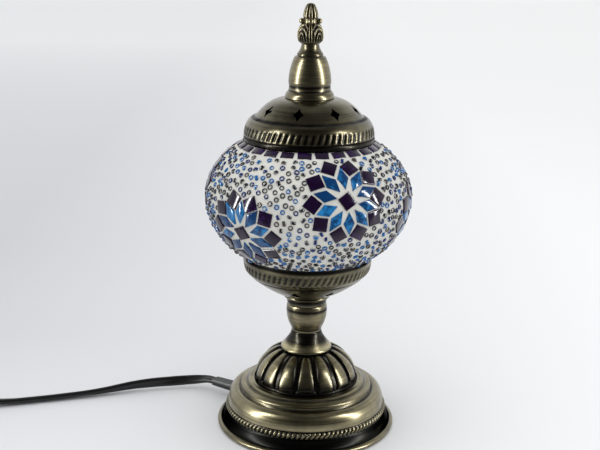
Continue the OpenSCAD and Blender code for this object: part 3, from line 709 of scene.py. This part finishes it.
def finial():
    """Cast knob: ribbed tip, four balls and a bud of four leaves on a flared foot."""
    foot_z, bore_r, bore_z, ribs = 241.7, 2.1, 256.5, 5
    outline = joined(
        [(0, LAMP_H), (1.2, LAMP_H - 0.1)],
        bez((2.2, LAMP_H - 0.6), (3.6, 270), (4.6, 267.4), (4.6, 264.6)),
        [(4, 263.6), (4.2, 260.8)],
        bez((5.4, 260), (7.6, 258), (8.6, 253), (6.6, 249.6)),
        bez((5.4, 248.4), (5.6, 246.4), (6.8, 244.2), (8, 242.9)),
        [(8.1, foot_z), (bore_r, foot_z), (bore_r, bore_z), (0, bore_z)])

    def leaf(az, z):
        """How strongly the bud's leaves show, and the wave of their veins and of the ribs between them."""
        quarter = TAU / 4
        across = (((az - quarter / 2) / quarter + 0.5) % 1 - 0.5) * quarter * 7.2
        rise = np.maximum(0, z - 252.6)
        span = np.sqrt(across**2 + (rise * 0.62) ** 2)
        on = ease(z, 249.4, 250.6) * (1 - ease(z, 260.4, 261.2))
        stalk = ease(np.abs(across), 4.0, 4.3)
        return on, np.cos(TAU * span / 1.7) * (1 - stalk) + np.cos(TAU * (np.abs(across) - 4.9) / 1.5) * stalk

    def tip_rib(az, z):
        """How far a height is on the ribbed tip, and the wave across its ribs."""
        return ease(z, 263.2, 264.2), np.abs(np.cos(az * ribs)) ** 0.7

    def relief(az, s, r, z):
        on, vein = leaf(az, z)
        tip, rib = tip_rib(az, z)
        tip = tip * (1 - ease(z, 271.2, 272.8))
        return np.where(r > bore_r + 0.2, on * 0.42 * vein + tip * 0.55 * (rib - 0.6), 0.0)

    def polish(az, s, r, z):
        on, vein = leaf(az, z)
        tip, rib = tip_rib(az, z)
        return (0.56 * (1 - on) + on * (0.46 + 0.30 * vein)) * (1 - tip) + tip * (0.06 + 0.66 * rib)

    piece = lathe("finial_skin", "finial", outline, METAL, segments=360, step=0.28, relief=relief,
                  polish=polish, wall=None)
    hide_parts("finial")
    ball_at, ball_r = (5.3 * MM, 0, 262.3 * MM), 1.75 * MM
    balls = bmesh.new()
    for i in range(4):
        place = Matrix.Rotation(i * TAU / 4, 4, "Z") @ Matrix.Translation(ball_at)
        bmesh.ops.create_uvsphere(balls, u_segments=24, v_segments=16, radius=ball_r, matrix=place)
    balls.verts.index_update()
    rings = [[v.index for v in face.verts] for face in balls.faces]
    starts = [ring.index(min(ring)) for ring in rings]
    faces = sorted(ring[first:] + ring[:first] for ring, first in zip(rings, starts))
    mesh = bpy.data.meshes.new("finial_balls")
    mesh.from_pydata([v.co[:] for v in balls.verts], [], faces)  # sorted, as bmesh orders them anew each run
    balls.free()
    mesh.shade_smooth()
    knobs = bpy.data.objects.new("finial_balls", mesh)
    bpy.context.scene.collection.objects.link(knobs)
    mesh.materials.append(METAL)
    add_attribute(knobs, "polish", np.full(len(mesh.vertices), 0.8))
    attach(knobs, "finial")


base_shell()
fluted_dome()
stem()
gallery()
cap()
neck()
finial()


# ---------------------------------------------------------------- mosaic
GLOBE_Z, GLOBE_UP, GLOBE_DOWN = 154.5, 44.8, 50.0  # the globe's widest height, and its half heights
rng = np.random.default_rng(7)


def half_height(z):
    """The globe is two half ellipsoids: the half height of the one at z."""
    return np.where(np.asarray(z) > GLOBE_Z, GLOBE_UP, GLOBE_DOWN)


def on_globe(az, z, depth=0.0):
    """A point of the tiles' surface, or that far under it."""
    h = (z - GLOBE_Z) / half_height(z)
    r = GLOBE_R * np.sqrt(np.maximum(0, 1 - h * h))
    p = np.stack([r * np.sin(az), -r * np.cos(az), z + 0 * r], -1)
    return p - depth * normal_at(p)


def normal_at(p):
    """The way out of the globe at a point of it."""
    n = np.stack([p[..., 0] / GLOBE_R**2, p[..., 1] / GLOBE_R**2,
                  (p[..., 2] - GLOBE_Z) / half_height(p[..., 2]) ** 2], -1)
    return n / np.linalg.norm(n, axis=-1, keepdims=True)


def drop_on(q):
    """The place on the globe under a point beside it."""
    k = np.linalg.norm([q[0] / GLOBE_R, q[1] / GLOBE_R, (q[2] - GLOBE_Z) / half_height(q[2])])
    return np.array([q[0] / k, q[1] / k, GLOBE_Z + (q[2] - GLOBE_Z) / k])


def seat(p, aim):
    """Axes of a tile at p: x, then y towards aim, then outwards."""
    n = normal_at(p)
    x = np.cross(aim - p, n)
    x /= np.linalg.norm(x)
    return np.array([x, np.cross(n, x), n])


def grout():
    """Hand-spread grout between the tiles and beads, slightly uneven."""
    top_r, foot_r, thickness, ripple = 39.9, 41, 1.5, 0.018
    a = GLOBE_R - TILE_RISE
    up, down = math.acos(top_r / a), -math.acos(foot_r / a)
    t = np.linspace(up, down, 90)
    half = np.where(t > 0, GLOBE_UP, GLOBE_DOWN) - TILE_RISE
    outline = np.stack([a * np.cos(t), GLOBE_Z + half * np.sin(t)], 1)
    waves = [(rng.integers(4, 60), rng.uniform(0.1, 0.9), rng.uniform(0, TAU)) for _ in range(36)]

    def relief(az, s, r, z):
        return sum(np.sin(az * around + s * along + shift) for around, along, shift in waves) * ripple

    piece = lathe("grout_skin", "globe", outline, GROUT, segments=480, step=0.9, relief=relief,
                  wall=thickness)
    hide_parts("grout_layer")


# The flowers, as in part.scad. Where a value has two entries they are for the upper and the lower flowers
FLOWERS, PETALS, FLOWER_FIRST = 6, 10, 21
FLOWER_Z = (165, 142)
SQUARE, TILE_T = 8.3, 2.0
DIAMOND = [(-3.7, 0), (0, -7), (3.7, 0), (0, 7)]
RING_SQUARE, RING_DIAMOND = 22.2, 14
CENTRE_TURN = (30, 25)
PETAL_TURN = (2, -3)
LAID_OUT = ((-0.6, -0.5, -0.6, 0.9, 0.4, 0, 0.8, 1.1, 1, 0.3), (0, 0.2, -0.2, 0.3, 0, 0.2, -0.2, 0.1, 0, 0.2))
BORDER_TILES, BORDER_FIRST, BORDER_Z, BORDER_SIZE = 26, -3.8, 188.1, (8, 4.6)
OVERHEAD = np.array([0, 0, 400.0])  # upright tiles have their Y towards this


def rectangle(w, h, turn=0.0):
    """The corners of a rectangle turned about its middle."""
    c, s = math.cos(turn), math.sin(turn)
    return [(x * c - y * s, x * s + y * c) for x, y in
            ((w / 2, -h / 2), (-w / 2, -h / 2), (-w / 2, h / 2), (w / 2, h / 2))]


def flower_centre(i):
    """The middle of flower i on the globe."""
    return on_globe(math.radians(FLOWER_FIRST + i * 360 / FLOWERS), FLOWER_Z[i % 2])


def tile_places():
    """Every tile of the globe: its kind, its outline, its place and its axes."""
    out = []
    for i in range(FLOWERS):
        c = flower_centre(i)
        n = normal_at(c)
        u = np.cross([0, 0, 1], n)
        u /= np.linalg.norm(u)
        v = np.cross(n, u)
        laid = LAID_OUT[i % 2]
        middle = rectangle(SQUARE, SQUARE, math.radians(CENTRE_TURN[i % 2]))
        out.append(("purple", middle, c, seat(c, OVERHEAD)))
        for kind, shift in (("purple", 0.0), ("blue", 0.5)):
            for k in range(PETALS):
                a = math.radians((k + shift) * 360 / PETALS + PETAL_TURN[i % 2])
                if kind == "purple":
                    outline, radius = rectangle(SQUARE, SQUARE, math.pi / 4), RING_SQUARE + laid[k]
                else:
                    outline, radius = DIAMOND, RING_DIAMOND + 0.2 * (laid[k] + laid[(k + 1) % PETALS])
                p = drop_on(c + radius * (math.cos(a) * u + math.sin(a) * v))
                out.append((kind, outline, p, seat(p, c)))
    for k in range(BORDER_TILES):
        p = on_globe(math.radians(BORDER_FIRST + k * 360 / BORDER_TILES), BORDER_Z)
        out.append(("border", rectangle(*BORDER_SIZE), p, seat(p, OVERHEAD)))
    return out


TILES = tile_places()


def cut_tile(outline, place, axes):
    """A hand-cut tile: its corners and its lie a little off, its top edge ground. Points and faces."""
    n = len(outline)
    off, tilt = 0.22, 0.022
    turn, scale = rng.normal(0, 0.03), rng.uniform(0.97, 1.03)
    c, s = math.cos(turn), math.sin(turn)
    flat = [(scale * (x * c - y * s) + rng.uniform(-off, off),
             scale * (x * s + y * c) + rng.uniform(-off, off)) for x, y in outline]
    tilt_x, tilt_y, lift = rng.normal(0, tilt), rng.normal(0, tilt), rng.uniform(-0.1, 0.12)
    mid = np.mean(flat, axis=0)
    loops = []
    for inset, height in ((0, -TILE_T), (0, -0.34), (0.16, -0.1), (0.42, 0.0)):
        ring = []
        for x, y in flat:
            d = math.hypot(x - mid[0], y - mid[1])
            k = 1 - inset * 1.35 / d  # a corner goes further in than the edges beside it
            px, py = mid[0] + (x - mid[0]) * k, mid[1] + (y - mid[1]) * k
            pz = height + lift + tilt_x * px + tilt_y * py
            ring.append(place + px * axes[0] + py * axes[1] + pz * axes[2])
        loops.append(ring)
    points = [p for ring in loops for p in ring]
    faces = [list(range(n))]
    for ring in range(len(loops) - 1):
        for i in range(n):
            j = (i + 1) % n
            a = ring * n
            faces.append([a + i, a + n + i, a + n + j, a + j])
    faces.append([len(points) - 1 - i for i in range(n)])
    return points, faces


def tiles(kind, name, node, material):
    """All tiles of one kind as one piece, each tile with its own shade."""
    points, faces, shade = [], [], []
    for what, outline, place, axes in TILES:
        if what == kind:
            p, f = cut_tile(outline, place, axes)
            faces += [[i + len(points) for i in face] for face in f]
            points += p
            shade += [rng.random()] * len(p)
    piece = new_piece(name, points, faces, "globe", material, 25)
    add_attribute(piece, "shade", shade)
    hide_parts(node)


def clear_of_tiles(points, gap):
    """Which points lie more than gap outside every tile's edge."""
    free = np.ones(len(points), bool)
    for _, outline, place, axes in TILES:
        local = (points - place) @ axes.T
        near = np.abs(local[:, 2]) < 6  # points this close to the tile's plane, so not the globe's far side
        corners = np.array(outline)
        edge = np.roll(corners, -1, 0) - corners
        edge /= np.linalg.norm(edge, axis=1)[:, None]
        middle = corners.mean(0)
        out = np.stack([edge[:, 1], -edge[:, 0]], 1)
        out *= np.sign(((corners - middle) * out).sum(1))[:, None]
        beyond = ((local[:, None, :2] - corners[None]) * out[None]).sum(2).max(1)
        free &= ~(near & (beyond < gap))
    return free


BEAD_R, BEAD_HOLE, BEAD_L = 1.68, 0.84, 1.9  # outer radius, the hole's radius, length
BEAD_GAP = 3.62  # least distance between two beads' middles
BEAD_ZONE = (117.2, 185.4)  # heights that have beads
BEAD_PROUD = 0.75  # how far a bead that stands on its end comes out of the grout
ON_END = 0.62  # the share of beads that stand on their ends
BARE_R = 19  # no beads this close to a flower's middle
BEAD_KINDS = (  # name, share of the beads, colour
    ("beads_grey", 0.29, srgb(48, 51, 58)), ("beads_black", 0.13, srgb(20, 20, 26)),
    ("beads_brown", 0.10, srgb(74, 66, 60)), ("beads_navy", 0.24, srgb(18, 46, 108)),
    ("beads_blue", 0.24, srgb(18, 104, 170)))


def outside_flowers(points):
    """Which points lie outside the rings of diamonds, where only grout shows between the tiles."""
    free = np.ones(len(points), bool)
    for i in range(FLOWERS):
        free &= np.linalg.norm(points - flower_centre(i), axis=1) > BARE_R
    return free


def bead_places():
    """Spots for beads, as close as hand-set ones, clear of the tiles and of each other."""
    count = 60000
    z = rng.uniform(*BEAD_ZONE, count)
    tried = on_globe(rng.uniform(0, TAU, count), z)
    tried = tried[clear_of_tiles(tried, BEAD_R + 0.05) & outside_flowers(tried)]
    cells, kept = {}, []
    apart = BEAD_GAP * BEAD_GAP
    for p in tried:
        cell = tuple((p // BEAD_GAP).astype(int))
        close = (q for dx in (-1, 0, 1) for dy in (-1, 0, 1) for dz in (-1, 0, 1)
                 for q in cells.get((cell[0] + dx, cell[1] + dy, cell[2] + dz), ()))
        if all((p[0] - q[0]) ** 2 + (p[1] - q[1]) ** 2 + (p[2] - q[2]) ** 2 > apart for q in close):
            cells.setdefault(cell, []).append(p)
            kept.append(p)
    return np.array(kept)


def bead_shape():
    """A short glass tube with round ends, its axis along Z: points and faces."""
    mid, wall = (BEAD_R + BEAD_HOLE) / 2, (BEAD_R - BEAD_HOLE) / 2
    rows, cols = 8, 14
    turn = np.arange(rows) / rows * TAU + TAU / 16
    section = np.stack([mid + wall * np.sign(np.cos(turn)) * np.abs(np.cos(turn)) ** 0.8,
                        BEAD_L / 2 * np.sign(np.sin(turn)) * np.abs(np.sin(turn)) ** 0.55], 1)
    az = np.arange(cols) / cols * TAU
    r, z = section[:, :1], np.repeat(section[:, 1:], cols, 1)
    points = np.stack([r * np.sin(az), -r * np.cos(az), z], -1)
    return points.reshape(-1, 3), grid_quads(rows, cols)[:, ::-1]


def beads():
    """The beads, one piece for each colour: most stand on their ends, the rest lie on their sides."""
    shape, faces = bead_shape()
    spots = bead_places()
    kinds = rng.choice(len(BEAD_KINDS), len(spots), p=[share for _, share, _ in BEAD_KINDS])
    for index, (name, _, colour) in enumerate(BEAD_KINDS):
        material = plain(name + "_glass", colour, 0.12, grain=500, bump=0.05, Coat_Weight=1.0,
                         Coat_Roughness=0.03)
        verts = []
        for p in spots[kinds == index]:
            n = normal_at(p)
            side = np.cross(n, rng.normal(size=3))
            side /= np.linalg.norm(side)
            size = rng.uniform(0.9, 1.06)
            if rng.random() < ON_END:
                up = n + rng.normal(0, 0.16, 3)
                depth = TILE_RISE + BEAD_L / 2 - BEAD_PROUD
            else:
                up = side + rng.normal(0, 0.2) * n
                depth = TILE_RISE + rng.uniform(0, 0.3)
            up /= np.linalg.norm(up)
            x = np.cross(up, rng.normal(size=3))
            x /= np.linalg.norm(x)
            verts.append((shape * size) @ np.array([x, np.cross(up, x), up]) + p - depth * n)
        count = len(verts)
        all_faces = (faces[None] + (np.arange(count) * len(shape))[:, None, None]).reshape(-1, 4)
        piece = new_piece(name, np.concatenate(verts), all_faces, "globe", material)


grout()
tiles("purple", "purple_tiles_cut", "purple_tiles", PURPLE)
tiles("blue", "blue_tiles_cut", "blue_tiles", BLUE)
tiles("border", "border_tiles_cut", "border_tiles", PURPLE)
beads()


# ---------------------------------------------------------------- the CAD pieces that are shown as they are
def soften(node, width):
    """Rounds a CAD node's sharp edges."""
    by = nodes[node].modifiers.new("edges", "BEVEL")
    by.width = width * MM
    by.segments = 3
    by.limit_method = "ANGLE"
    by.angle_limit = math.radians(40)
    by.harden_normals = True


for softened, edge in (("switch_base", 1.2), ("switch_cover", 1.2), ("plug_body", 2.0), ("coil_tie", 0.3),
                       ("lead_gland", 0.4), ("switch_rocker", 0.5), ("plug_pins", 0.6)):
    soften(softened, edge)


# ---------------------------------------------------------------- studio
def softbox(name, place, aim, up, size, power):
    """A rectangular lamp facing aim, its height along up."""
    lamp = bpy.data.lights.new(name, "AREA")
    lamp.shape = "RECTANGLE"
    lamp.size, lamp.size_y = size
    lamp.energy = power
    made = bpy.data.objects.new(name, lamp)
    made.location = place
    z = (Vector(place) - Vector(aim)).normalized()
    y = (Vector(up) - Vector(up).dot(z) * z).normalized()
    made.rotation_euler = Matrix((y.cross(z), y, z)).transposed().to_euler()
    bpy.context.scene.collection.objects.link(made)
    return made


def floor():
    """A big pale sheet, its colour darker to the left and just behind the lamp as painted shade.

    Mirror-like surfaces see its front part in the shade of the camera's side.
    """
    far = 8.0
    mesh = bpy.data.meshes.new("floor")
    mesh.from_pydata([(-far, -far, 0), (far, -far, 0), (far, far, 0), (-far, far, 0)], [], [(0, 1, 2, 3)])
    made = bpy.data.objects.new("floor", mesh)
    bpy.context.scene.collection.objects.link(made)
    m = Nodes("floor_paper")
    x, y = m.add("ShaderNodeSeparateXYZ", {0: m.coords()}).outputs[:2]
    front = m.math("MULTIPLY", m.remap(y, -0.08, -0.30, 0.0, 0.88),
                   m.add("ShaderNodeLightPath").outputs["Is Glossy Ray"])
    across = m.remap(x, -0.32, 0.30, 0.0, 1.0)
    behind = m.remap(y, -0.10, 0.15, 0.0, 1.0)
    beyond = m.remap(y, 0.4, 2.6, 0.0, 1.0)
    # Painted light and shade in the paper's colour: darker to the left and just behind the lamp, lighter to
    # the right and far off.
    left = m.mix(behind, (0.73, 0.735, 0.755, 1), (0.59, 0.595, 0.615, 1))
    left = m.mix(beyond, left, (0.87, 0.875, 0.885, 1))
    right = m.mix(beyond, (0.92, 0.925, 0.93, 1), (0.97, 0.975, 0.97, 1))
    paper = m.mix(across, left, right)
    m.set(Base_Color=m.mix(front, paper, (0.02, 0.02, 0.02, 1)), Roughness=0.6, Specular_IOR_Level=0.3)
    mesh.materials.append(m.material)


def sky():
    """A pale studio, even for what it lights.

    In reflections it is bright behind the lamp and dim in front and above.
    """
    even = 0.95
    world = bpy.data.worlds.new("studio")
    bpy.context.scene.world = world
    world.use_nodes = True
    tree = world.node_tree
    tree.nodes.clear()

    def add(kind, *values, **settings):
        """A node's outputs, from its inputs in order, None to leave one as it is, and its settings."""
        made = tree.nodes.new(kind)
        for key, value in settings.items():
            setattr(made, key, value)
        for index, value in enumerate(values):
            if isinstance(value, bpy.types.NodeSocket):
                tree.links.new(value, made.inputs[index])
            elif value is not None:
                made.inputs[index].default_value = value
        return made.outputs

    way = add("ShaderNodeSeparateXYZ", add("ShaderNodeTexCoord")["Generated"])
    back = add("ShaderNodeMapRange", way[1], -0.55, 0.45, 0.05, 0.95, interpolation_type="SMOOTHSTEP")[0]
    above = add("ShaderNodeMapRange", way[2], 0.45, 0.95, 1.0, 0.30, interpolation_type="SMOOTHSTEP")[0]
    mirrored = add("ShaderNodeMath", back, above, operation="MULTIPLY")[0]
    glossy = add("ShaderNodeLightPath")["Is Glossy Ray"]
    strength = add("ShaderNodeMix", glossy, None, even, mirrored)[0]
    light = add("ShaderNodeBackground", (1.0, 1.005, 1.015, 1), strength)[0]
    add("ShaderNodeOutputWorld", light)
    world.cycles.sampling_method = "NONE"  # or the sky's light would be sampled past its light path switch


floor()
sky()
STRIP_W, STRIP_POWER = 0.06, 6.5
for side in (-1, 1):
    foot, head = Vector((side * 0.80, -0.20, 0.01)), Vector((side * 0.72, -0.37, 0.85))
    middle = (foot + head) / 2
    strip = softbox("strip_left" if side < 0 else "strip_right", middle, (0, 0, middle.z), head - foot,
                    (STRIP_W, (head - foot).length), STRIP_POWER)
    strip.visible_diffuse = False
above = softbox("top_box", (-0.1, -0.2, 1.4), (0, 0, 0), (0, 1, 0), (1.2, 1.2), 4)
above.visible_glossy = False
bpy.context.scene.view_settings.view_transform = "Standard"
